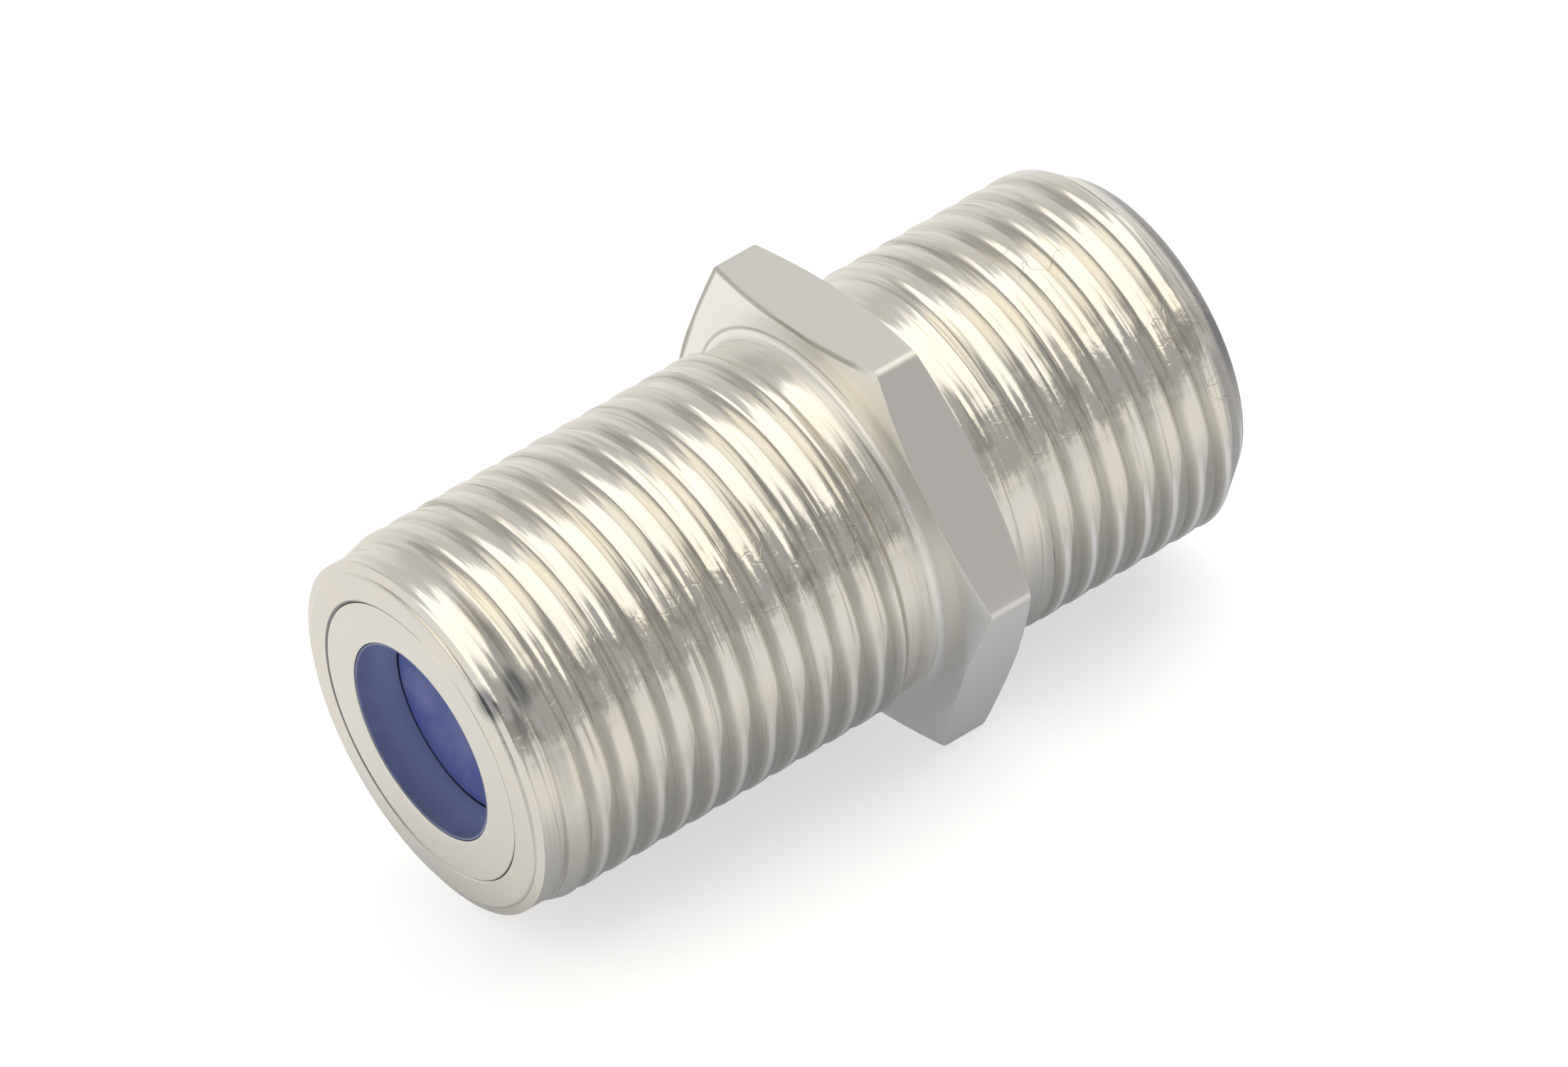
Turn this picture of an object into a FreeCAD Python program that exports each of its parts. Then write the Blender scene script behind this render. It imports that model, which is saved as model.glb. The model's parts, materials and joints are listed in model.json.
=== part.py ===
import FreeCAD, Part
import math
import os
import Sketcher

# Coaxial coupler with a threaded socket at each end and a hex flange between them.
# It lies on one flat of the hex: X runs from the front socket to the rear one, Z is up,
# and the origin is on the floor below the middle of its length.
# Each piece is drawn along its own X axis, from its front end towards the rear.

doc = FreeCAD.newDocument("coupler")
sheet = doc.addObject("Spreadsheet::Sheet", "Sizes")

# Sizes in millimetres, angles in degrees, each on a row of its own in the sheet.
sizeList = [
    # Outside of the body
    ("threadDiameter", 9.45),
    ("noseLength", 1.35),
    ("noseDrop", 0.42),
    ("noseRounding", 0.12),
    ("frontLength", 11.6),
    ("neckDrop", 0.175),
    ("neckLength", 1.0),
    ("flangeFlats", 10.9),
    ("flangeThickness", 1.65),
    ("flangeChamferAngle", 17),
    ("flangeRootFillet", 0.3),
    ("collarLength", 1.4),
    ("rearLength", 7.75),
    ("rearChamferLength", 1.0),
    ("rearChamferDrop", 0.75),
    ("rearBevel", 0.12),
    ("reliefAngle", 45),
    # Bore of the body and the bush pressed into its front end
    ("bodyWall", 1.125),
    ("endWall", 1.2),
    ("mouthRimWidth", 1.05),
    ("seamChamfer", 0.06),
    ("pressClearance", 0.01),
    # Moulded insulators
    ("slideClearance", 0.03),
    ("lipSetback", 0.03),
    ("lipRim", 0.07),
    ("socketWall", 0.14),
    ("socketDepth", 1.1),
    ("socketFloor", 1.75),
    ("funnelRim", 0.18),
    ("funnelDepth", 0.8),
    ("pinHoleDiameter", 1.2),
    ("mouldingRelief", 0.2),
    # Spring contact
    ("contactDiameter", 2.1),
    ("contactBore", 1.0),
    ("fingerRoom", 0.2),
    ("fingerSlotWidth", 0.3),
    ("fingerSlotLength", 4.6),
    ("fingerTaperLength", 1.6),
    ("fingerTaper", 0.18),
    ("tipLeadIn", 0.2),
    ("tipGap", 0.15),
    ("contactWeb", 2.2),
    ("collarDiameter", 3.6),
    ("contactCollarWidth", 1.2),
]


class Size:
    """A sheet value or a sum of them: its text goes into the model, its number starts the sketch."""

    def __init__(self, text, number):
        self.text = text
        self.number = number

    def joined(self, sign, other, number):
        return Size("(" + self.text + " " + sign + " " + other.text + ")", number)

    def __add__(self, other):
        return self.joined("+", other, self.number + other.number)

    def __sub__(self, other):
        return self.joined("-", other, self.number - other.number)

    def __mul__(self, other):
        return self.joined("*", other, self.number * other.number)

    def __truediv__(self, other):
        return self.joined("/", other, self.number / other.number)


def plain(number):
    return Size(str(number), number)


def slope(angle):
    return Size("tan(" + angle.text + " * 1 deg)", math.tan(math.radians(angle.number)))


size = {}
for row, (alias, number) in enumerate(sizeList, start=1):
    sheet.set("A" + str(row), alias)
    sheet.set("B" + str(row), str(number))
    sheet.setAlias("B" + str(row), alias)
    size[alias] = Size("Sizes." + alias, number)
doc.recompute()

two = plain(2)
zero = plain(0)
fullTurn = 360
hexSides = 6
sideAngle = fullTurn / hexSides
nearEnough = 0.0001  # millimetres, for finding an edge by its place

# Places along the body, from the front face
frontFace = zero
flangeFront = size["frontLength"]
flangeRear = flangeFront + size["flangeThickness"]
rearFace = flangeRear + size["rearLength"]
middle = rearFace / two

# Radii of the body
threadRadius = size["threadDiameter"] / two
neckRadius = threadRadius - size["neckDrop"]
boreRadius = threadRadius - size["bodyWall"]
mouthRadius = boreRadius - size["mouthRimWidth"]
flatRadius = size["flangeFlats"] / two
cornerRadius = flatRadius / plain(math.cos(math.radians(sideAngle / 2)))


def makeBody(label):
    body = doc.addObject("PartDesign::Body", label)
    body.Label = label
    return body


def planeOf(body, role):
    for feature in body.Origin.OriginFeatures:
        if feature.Role == role:
            return feature
    raise ValueError("no plane " + role)


def makeSketch(body, name, role):
    sketch = body.newObject("Sketcher::SketchObject", name)
    sketch.AttachmentSupport = [(planeOf(body, role), "")]
    sketch.MapMode = "FlatFace"
    return sketch


def fixPoint(sketch, line, place):
    """Ties the start of a line to the sheet, along and away from the axis."""
    for kind, way in (("DistanceX", place[0]), ("DistanceY", place[1])):
        if way.number == 0:
            axis = -2 if kind == "DistanceX" else -1
            sketch.addConstraint(Sketcher.Constraint("PointOnObject", line, 1, axis))
        else:
            index = sketch.addConstraint(Sketcher.Constraint(kind, -1, 1, line, 1, way.number))
            sketch.setExpression("Constraints[" + str(index) + "]", way.text)


def drawOutline(sketch, places):
    """A closed outline of straight runs through places of (along the axis, away from the axis)."""
    first = sketch.GeometryCount
    points = [FreeCAD.Vector(along.number, away.number, 0) for along, away in places]
    count = len(points)
    for index in range(count):
        sketch.addGeometry(Part.LineSegment(points[index], points[(index + 1) % count]), False)
    for index in range(count):
        following = first + (index + 1) % count
        sketch.addConstraint(Sketcher.Constraint("Coincident", first + index, 2, following, 1))
    for index, place in enumerate(places):
        fixPoint(sketch, first + index, place)


def turn(body, name, outlines, kind="PartDesign::Revolution"):
    """Revolves closed outlines about X, adding metal or taking it away."""
    sketch = makeSketch(body, name + "Profile", "XY_Plane")
    for places in outlines:
        drawOutline(sketch, places)
    feature = body.newObject(kind, name)
    feature.Profile = sketch
    feature.ReferenceAxis = (sketch, ["H_Axis"])
    feature.Angle = fullTurn
    doc.recompute()
    return feature


def ringEdges(shape, along, away):
    """Names of the circular edges at a place along X with a radius."""
    names = []
    for index, edge in enumerate(shape.Edges, start=1):
        curve = edge.Curve
        if not isinstance(curve, Part.Circle):
            continue
        apart = max(abs(curve.Center.x - along.number), abs(curve.Radius - away.number))
        if apart < nearEnough:
            names.append("Edge" + str(index))
    return names


def dressEdges(body, name, kind, edges, field, amount):
    """Rounds or chamfers rings of the piece, each given as (along, away)."""
    base = body.Tip
    names = []
    for along, away in edges:
        names += ringEdges(base.Shape, along, away)
    feature = body.newObject(kind, name)
    feature.Base = (base, names)
    setattr(feature, field, amount.number)
    feature.setExpression(field, amount.text)
    doc.recompute()
    return feature


def seat(body, along, flip=False):
    """Sets a piece on the coupler's axis, its own start at a place along the body."""
    spin = FreeCAD.Rotation(FreeCAD.Vector(0, 0, 1), fullTurn / 2 if flip else 0)
    start = along - middle
    body.Placement = FreeCAD.Placement(FreeCAD.Vector(start.number, 0, flatRadius.number), spin)
    body.setExpression("Placement.Base.x", start.text)
    body.setExpression("Placement.Base.z", flatRadius.text)


def makeShell():
    body = makeBody("body")

    # Hex flange, a pad across the axis with two flats level
    sketch = makeSketch(body, "flangeOutline", "YZ_Plane")
    sketch.AttachmentOffset = FreeCAD.Placement(FreeCAD.Vector(0, 0, flangeFront.number), FreeCAD.Rotation())
    sketch.setExpression("AttachmentOffset.Base.z", flangeFront.text)
    corners = []
    far = cornerRadius.number
    for side in range(hexSides):
        angle = math.radians(sideAngle * side)
        corners.append(FreeCAD.Vector(far * math.cos(angle), far * math.sin(angle), 0))
    for side in range(hexSides):
        edge = Part.LineSegment(corners[side], corners[(side + 1) % hexSides])
        sketch.addGeometry(edge, False)
    ring = sketch.addGeometry(Part.Circle(FreeCAD.Vector(0, 0, 0), FreeCAD.Vector(0, 0, 1), far), True)
    sketch.addConstraint(Sketcher.Constraint("Coincident", ring, 3, -1, 1))
    for side in range(hexSides):
        sketch.addConstraint(Sketcher.Constraint("Coincident", side, 2, (side + 1) % hexSides, 1))
        sketch.addConstraint(Sketcher.Constraint("PointOnObject", side, 1, ring))
    for side in range(1, hexSides):
        sketch.addConstraint(Sketcher.Constraint("Equal", 0, side))
    sketch.addConstraint(Sketcher.Constraint("Horizontal", 1))
    index = sketch.addConstraint(Sketcher.Constraint("Radius", ring, far))
    sketch.setExpression("Constraints[" + str(index) + "]", cornerRadius.text)
    pad = body.newObject("PartDesign::Pad", "flange")
    pad.Profile = sketch
    pad.Length = size["flangeThickness"].number
    pad.setExpression("Length", size["flangeThickness"].text)
    doc.recompute()

    # Corners of the hex turned off at an angle from both faces, by outlines that run past them
    beyond = cornerRadius * two - flatRadius
    run = (beyond - flatRadius) * slope(size["flangeChamferAngle"])
    frontCorner = [(flangeFront, flatRadius), (flangeFront, beyond), (flangeFront + run, beyond)]
    rearCorner = [(flangeRear, flatRadius), (flangeRear, beyond), (flangeRear - run, beyond)]
    turn(body, "flangeChamfers", [frontCorner, rearCorner], "PartDesign::Groove")

    # Turned barrels on each side: nose, front thread, neck, then collar, rear thread, chamfer
    neckStart = flangeFront - size["neckLength"]
    collarEnd = flangeRear + size["collarLength"]
    relief = size["neckDrop"] / slope(size["reliefAngle"])
    rearChamferStart = rearFace - size["rearChamferLength"]
    noseRadius = threadRadius - size["noseDrop"]
    rearRadius = threadRadius - size["rearChamferDrop"]
    turn(body, "barrels", [[
        (frontFace, zero),
        (frontFace, noseRadius),
        (size["noseLength"], threadRadius),
        (neckStart - relief, threadRadius),
        (neckStart, neckRadius),
        (collarEnd, neckRadius),
        (collarEnd + relief, threadRadius),
        (rearChamferStart, threadRadius),
        (rearFace, rearRadius),
        (rearFace, zero),
    ]])

    # Bore for the bush and the mouldings, closed at the rear by a wall with a round mouth
    rearWall = rearFace - size["endWall"]
    turn(body, "bore", [[
        (frontFace, zero),
        (frontFace, boreRadius + size["seamChamfer"]),
        (size["seamChamfer"], boreRadius),
        (rearWall, boreRadius),
        (rearWall, mouthRadius),
        (rearFace, mouthRadius),
        (rearFace, zero),
    ]], "PartDesign::Groove")

    roots = [(flangeFront, neckRadius), (flangeRear, neckRadius)]
    dressEdges(body, "flangeRoots", "PartDesign::Fillet", roots, "Radius", size["flangeRootFillet"])
    nose = [(frontFace, noseRadius)]
    dressEdges(body, "noseEdge", "PartDesign::Fillet", nose, "Radius", size["noseRounding"])
    rim = [(rearFace, rearRadius)]
    dressEdges(body, "rearEdge", "PartDesign::Chamfer", rim, "Size", size["rearBevel"])
    seat(body, frontFace)
    return body


def makeBush():
    body = makeBody("front_bush")
    bushRadius = boreRadius - size["pressClearance"]
    turn(body, "ring", [[
        (zero, mouthRadius),
        (zero, bushRadius - size["seamChamfer"]),
        (size["seamChamfer"], bushRadius),
        (size["endWall"], bushRadius),
        (size["endWall"], mouthRadius),
    ]])
    seat(body, frontFace)
    return body


def makeInsulator(label, flip):
    """Cup with a tapered socket outside and, inside, a cavity for one end of the contact."""
    body = makeBody(label)
    tip = size["lipSetback"]
    lipRadius = mouthRadius - size["slideClearance"]
    outerRadius = boreRadius - size["slideClearance"]
    socketRadius = lipRadius - size["socketWall"]
    cavityStart = size["socketDepth"] + size["socketFloor"]
    cavityRadius = size["contactDiameter"] / two + size["fingerRoom"]
    pinHoleRadius = size["pinHoleDiameter"] / two
    funnelRadius = socketRadius - size["funnelRim"]
    funnelEnd = size["socketDepth"] + size["funnelDepth"]
    pocketStart = middle - size["contactCollarWidth"] / two
    pocketRadius = size["collarDiameter"] / two + size["slideClearance"]
    turn(body, "moulding", [[
        (tip, lipRadius - size["lipRim"]),
        (tip, lipRadius),
        (size["endWall"], lipRadius),
        (size["endWall"], outerRadius - size["mouldingRelief"]),
        (size["endWall"] + size["mouldingRelief"], outerRadius),
        (middle, outerRadius),
        (middle, pocketRadius),
        (pocketStart, pocketRadius),
        (pocketStart, cavityRadius),
        (cavityStart, cavityRadius),
        (cavityStart, pinHoleRadius),
        (funnelEnd, pinHoleRadius),
        (size["socketDepth"], funnelRadius),
        (size["socketDepth"], socketRadius),
    ]])
    seat(body, rearFace if flip else frontFace, flip)
    return body


def makeContact():
    """Double-ended spring contact: a collar in the middle and four fingers at each end."""
    body = makeBody("centre_contact")
    start = size["socketDepth"] + size["socketFloor"] + size["tipGap"]
    length = rearFace - start * two
    outer = size["contactDiameter"] / two
    tipRadius = outer - size["fingerTaper"]
    boreWall = size["contactBore"] / two
    tipBore = boreWall - size["fingerTaper"] / two
    collarRadius = size["collarDiameter"] / two
    centre = length / two
    collarHalf = size["contactCollarWidth"] / two
    taper = size["fingerTaperLength"]
    leadIn = size["tipLeadIn"]

    turn(body, "bar", [[
        (zero, zero),
        (zero, tipRadius),
        (taper, outer),
        (centre - collarHalf, outer),
        (centre - collarHalf, collarRadius),
        (centre + collarHalf, collarRadius),
        (centre + collarHalf, outer),
        (length - taper, outer),
        (length, tipRadius),
        (length, zero),
    ]])

    depth = (length - size["contactWeb"]) / two
    turn(body, "bores", [[
        (zero, zero),
        (zero, tipBore + leadIn),
        (leadIn, tipBore),
        (taper, boreWall),
        (depth, boreWall),
        (depth, zero),
    ], [
        (length, zero),
        (length, tipBore + leadIn),
        (length - leadIn, tipBore),
        (length - taper, boreWall),
        (length - depth, boreWall),
        (length - depth, zero),
    ]], "PartDesign::Groove")

    # Two crossed saw cuts at each end leave four fingers
    sketch = makeSketch(body, "fingerSlotOutlines", "XZ_Plane")
    slotLength = size["fingerSlotLength"]
    width = size["fingerSlotWidth"]
    for near, far in ((zero, slotLength), (length - slotLength, length)):
        low = FreeCAD.Vector(near.number, -width.number / 2, 0)
        high = FreeCAD.Vector(far.number, width.number / 2, 0)
        first = sketch.GeometryCount
        ends = [low, FreeCAD.Vector(high.x, low.y, 0), high, FreeCAD.Vector(low.x, high.y, 0)]
        for index in range(4):
            sketch.addGeometry(Part.LineSegment(ends[index], ends[(index + 1) % 4]), False)
        for index in range(4):
            following = first + (index + 1) % 4
            sketch.addConstraint(Sketcher.Constraint("Coincident", first + index, 2, following, 1))
        sketch.addConstraint(Sketcher.Constraint("Horizontal", first))
        sketch.addConstraint(Sketcher.Constraint("Vertical", first + 1))
        sketch.addConstraint(Sketcher.Constraint("Horizontal", first + 2))
        sketch.addConstraint(Sketcher.Constraint("Symmetric", first, 1, first + 3, 1, -1))
        index = sketch.addConstraint(Sketcher.Constraint("DistanceY", first, 1, first + 3, 1, width.number))
        sketch.setExpression("Constraints[" + str(index) + "]", width.text)
        if near.number == 0:
            sketch.addConstraint(Sketcher.Constraint("PointOnObject", first, 1, -2))
        else:
            index = sketch.addConstraint(Sketcher.Constraint("DistanceX", -1, 1, first, 1, near.number))
            sketch.setExpression("Constraints[" + str(index) + "]", near.text)
        index = sketch.addConstraint(Sketcher.Constraint("DistanceX", -1, 1, first, 2, far.number))
        sketch.setExpression("Constraints[" + str(index) + "]", far.text)
    slots = body.newObject("PartDesign::Pocket", "fingerSlots")
    slots.Profile = sketch
    slots.Type = "ThroughAll"
    slots.Midplane = True
    doc.recompute()
    crossed = body.newObject("PartDesign::PolarPattern", "crossedSlots")
    crossed.Originals = [slots]
    crossed.Axis = (sketch, ["H_Axis"])
    crossed.Angle = 90
    crossed.Occurrences = 2
    body.Tip = crossed
    doc.recompute()
    seat(body, start)
    return body


pieces = [
    makeShell(),
    makeBush(),
    makeInsulator("front_insulator", False),
    makeInsulator("rear_insulator", True),
    makeContact(),
]
doc.recompute()

for thing in doc.Objects:
    if "Invalid" in thing.State or "Error" in thing.State:
        raise ValueError(thing.Name + " did not build")
for piece in pieces:
    if piece.Shape.isNull() or not piece.Shape.isValid():
        raise ValueError(piece.Label + " has no sound shape")

os.makedirs("parts", exist_ok=True)
for piece in pieces:
    piece.Shape.exportStep("parts/" + piece.Label + ".step")
    print(piece.Label, "volume", round(piece.Shape.Volume, 2), "solids", len(piece.Shape.Solids))
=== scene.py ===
import bpy
import json
import math
from mathutils import Matrix, Vector, noise


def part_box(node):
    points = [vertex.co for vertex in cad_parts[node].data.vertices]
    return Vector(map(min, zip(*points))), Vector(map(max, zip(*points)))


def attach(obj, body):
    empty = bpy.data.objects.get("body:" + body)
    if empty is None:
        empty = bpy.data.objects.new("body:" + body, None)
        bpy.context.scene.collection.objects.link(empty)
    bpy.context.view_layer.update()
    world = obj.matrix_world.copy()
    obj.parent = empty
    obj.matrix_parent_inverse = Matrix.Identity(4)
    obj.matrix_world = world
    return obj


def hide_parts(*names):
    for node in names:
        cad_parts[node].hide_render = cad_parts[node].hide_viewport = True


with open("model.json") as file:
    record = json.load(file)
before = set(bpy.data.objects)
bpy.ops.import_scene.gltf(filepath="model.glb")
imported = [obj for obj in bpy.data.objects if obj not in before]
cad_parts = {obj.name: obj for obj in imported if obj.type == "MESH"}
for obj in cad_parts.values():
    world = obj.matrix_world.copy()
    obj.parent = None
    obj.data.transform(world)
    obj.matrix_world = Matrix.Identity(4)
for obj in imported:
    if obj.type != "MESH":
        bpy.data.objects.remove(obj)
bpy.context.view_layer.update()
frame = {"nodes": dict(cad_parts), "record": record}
print("frame loaded:", sorted(frame["nodes"]))

# Everything below is worked out in millimetres along the coupler's own axis,
# from its front face, and goes into the meshes in metres.
mm = 0.001
bodyLow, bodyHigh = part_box("body")
frontX = bodyLow.x / mm  # the front face, in the frame
fullLength = (bodyHigh.x - bodyLow.x) / mm
axisHeight = (bodyLow.z + bodyHigh.z) / 2 / mm
flatRadius = (bodyHigh.z - bodyLow.z) / 2 / mm
mountRadius = {mount["name"]: mount["dims"]["r_mm"]
               for mount in frame["record"]["mounts"] if "r_mm" in mount["dims"]}
threadRadius = mountRadius["front_thread"]
pitch = 25.4 / 32  # 32 turns to the inch
grooves = (1.995, 14.588)  # where a groove crosses the top of each barrel
sharpAngle = 40  # edges that turn by more degrees are shaded sharp


def place(along, away, turn):
    # A point at a distance along the axis, with its angle measured from straight up towards the front
    angle = 2 * math.pi * turn
    return Vector((frontX + along, -away * math.sin(angle), axisHeight + away * math.cos(angle))) * mm


def ramp(value, low, high):
    share = min(1.0, max(0.0, (value - low) / (high - low)))
    return share * share * (3 - 2 * share)


def softLower(first, second, blend):
    # The lower of two radii, with the crease between them rounded a little
    share = min(1.0, max(0.0, 0.5 + (second - first) / (2 * blend)))
    return second + (first - second) * share - blend * share * (1 - share)


def arc(centre, radius, start, end, steps):
    # Points of an arc in the profile, angles in degrees from the axis direction
    points = []
    for step in range(steps + 1):
        angle = math.radians(start + (end - start) * step / steps)
        points.append((centre[0] + radius * math.cos(angle), centre[1] + radius * math.sin(angle)))
    return points


def addObject(name, data):
    made = bpy.data.objects.new(name, data)
    bpy.context.scene.collection.objects.link(made)
    return made


def meshPiece(name, points, faces, material):
    mesh = bpy.data.meshes.new(name)
    mesh.from_pydata(points, [], faces)
    mesh.validate()
    mesh.polygons.foreach_set("use_smooth", [True] * len(mesh.polygons))
    mesh.set_sharp_from_angle(angle=math.radians(sharpAngle))
    mesh.materials.append(material)
    return addObject(name, mesh)


class Shade:
    # A socket of a node tree, so that maths on it reads as plain Python
    def __init__(self, tree, socket=None):
        self.tree = tree
        self.socket = socket

    def fill(self, socket, value):
        if isinstance(value, Shade):
            self.tree.links.new(value.socket, socket)
        elif isinstance(value, tuple) and len(value) == 3 and len(socket.default_value) == 4:
            socket.default_value = (*value, 1)
        else:
            socket.default_value = value

    def node(self, kind, settings, sockets, output=0):
        made = self.tree.nodes.new(kind)
        for name, value in settings.items():
            setattr(made, name, value)
        for name, value in sockets.items():
            self.fill(made.inputs[name], value)
        return Shade(self.tree, made.outputs[output] if made.outputs else None)

    def maths(self, operation, other=0.0):
        return self.node("ShaderNodeMath", {"operation": operation}, {0: self, 1: other})

    def __add__(self, other):
        return self.maths("ADD", other)

    def __sub__(self, other):
        return self.maths("SUBTRACT", other)

    def __rsub__(self, other):
        return self.node("ShaderNodeMath", {"operation": "SUBTRACT"}, {0: other, 1: self})

    def __mul__(self, other):
        return self.maths("MULTIPLY", other)

    def __truediv__(self, other):
        return self.maths("DIVIDE", other)

    def __pow__(self, other):
        return self.maths("POWER", other)

    def __abs__(self):
        return self.maths("ABSOLUTE")

    __radd__ = __add__
    __rmul__ = __mul__

    def most(self, other):
        return self.maths("MAXIMUM", other)

    def between(self, low, high):
        # Eases from 0 at low to 1 at high, which may be the smaller of the two
        return self.node("ShaderNodeMapRange", {"interpolation_type": "SMOOTHSTEP"},
                         {"Value": self, 1: low, 2: high, 3: 0.0, 4: 1.0})

    def ease(self, edges):
        # Two edges ease it from 0 to 1, and two more from 1 to 0 again
        shown = self.between(edges[0], edges[1])
        return shown * self.between(edges[3], edges[2]) if len(edges) == 4 else shown

    def vector(self, operation, sockets, output=0):
        return self.node("ShaderNodeVectorMath", {"operation": operation}, sockets, output)

    def part(self, vector, number):
        return self.node("ShaderNodeSeparateXYZ", {}, {0: vector}, number)

    def cloud(self, vector, detail, rough, scale=1.0):
        return self.node("ShaderNodeTexNoise", {"noise_dimensions": "3D"},
                         {"Vector": vector, "Scale": scale, "Detail": detail, "Roughness": rough})

    def tint(self, first, second):
        # Colour first where this value is 0, second where it is 1
        settings = {"data_type": "RGBA", "blend_type": "MIX"}
        return self.node("ShaderNodeMix", settings, {0: self, 6: first, 7: second}, 2)


def newFinish(name):
    material = bpy.data.materials.new(name)
    material.use_nodes = True
    material.node_tree.nodes.clear()
    return material, Shade(material.node_tree)


def showSurface(shade, surface):
    shade.node("ShaderNodeOutputMaterial", {}, {"Surface": surface})


class Spot:
    # Where a point of the surface is, in millimetres: along the axis, out from it and round it
    def __init__(self, shade):
        self.shade = shade
        coords = shade.node("ShaderNodeTexCoord", {}, {}, "Object")
        centred = shade.vector("SUBTRACT", {0: coords, 1: (frontX * mm, 0, axisHeight * mm)})
        self.point = shade.vector("SCALE", {0: centred, "Scale": 1 / mm})
        self.along = shade.part(self.point, 0)
        self.side = shade.part(self.point, 1)
        self.height = shade.part(self.point, 2)
        self.away = (self.side * self.side + self.height * self.height) ** 0.5
        self.across = self.towardsFlats()
        self.degrees = (0 - self.side).maths("ARCTAN2", self.height) * (180 / math.pi)
        self.sweep = self.along + self.away * 0.8  # runs across every turned surface
        self.normal = shade.node("ShaderNodeNewGeometry", {}, {}, "Normal")
        self.facing = abs(shade.part(self.normal, 0))

    def towardsFlats(self):
        # The distance from the axis towards the nearest flat of the hex
        rise = self.height * math.cos(math.pi / 3)
        slant = self.side * math.sin(math.pi / 3)
        return abs(self.height).most(abs(rise + slant)).most(abs(rise - slant))

    def noise(self, across, around, detail, rough, start):
        # Noise with its own fineness across the turning and round it
        vector = self.shade.node("ShaderNodeCombineXYZ", {}, {
            0: self.sweep * across + start, 1: self.side * around, 2: self.height * around})
        return self.shade.cloud(vector, detail, rough)

    def near(self, centre, reach, narrow=1.0, core=0.35):
        # 1 at a place on the coupler, fading to 0 at its reach, which is narrower along the axis
        apart = self.shade.vector("SUBTRACT", {0: self.point, 1: centre})
        stretched = self.shade.vector("MULTIPLY", {0: apart, 1: (narrow, 1, 1)})
        return self.shade.vector("LENGTH", {0: stretched}, "Value").between(reach, reach * core)

    def towards(self, degrees, spread, core=0.4):
        # 1 along one line of the barrel, fading to 0 at a spread of degrees on each side of it
        angle = math.radians(degrees)
        lean = (self.height * math.cos(angle) - self.side * math.sin(angle)) / self.away
        return lean.between(math.cos(math.radians(spread)), math.cos(math.radians(spread * core)))

    def phase(self, split):
        # How far a point is from one groove to the next, 0 to 1; the rear barrel starts after the split
        front, rear = grooves
        groove = self.along.maths("GREATER_THAN", split) * (rear - front) + front
        return ((self.along - groove) / pitch - self.degrees / 360).maths("FRACT")

    def tipped(self, around, along):
        # The surface's normal, tipped a little round the barrel and along it
        tangent = self.shade.vector("CROSS_PRODUCT", {0: (1, 0, 0), 1: self.normal})
        turned = self.shade.vector("SCALE", {0: tangent, "Scale": around})
        slid = self.shade.node("ShaderNodeCombineXYZ", {}, {0: along, 1: 0.0, 2: 0.0})
        moved = self.shade.vector("ADD", {0: self.normal, 1: turned})
        moved = self.shade.vector("ADD", {0: moved, 1: slid})
        return self.shade.vector("NORMALIZE", {0: moved})


noiseMiddle = 0.5


def curls(spot, fineness, width, start, detail=1.5, rough=0.5, core=0.2):
    # Thin wandering lines, where a noise passes through its middle value
    stretched = spot.shade.vector("MULTIPLY_ADD", {
        0: spot.point, 1: (fineness,) * 3, 2: (start, start * 2, start * 3)})
    wander = spot.shade.cloud(stretched, detail, rough)
    return abs(wander - noiseMiddle).between(width, width * core)


def spotOn(along, away, degrees):
    # The place of a mark on the body, as the finish measures it
    angle = math.radians(degrees)
    return (along, -away * math.sin(angle), away * math.cos(angle))


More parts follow.
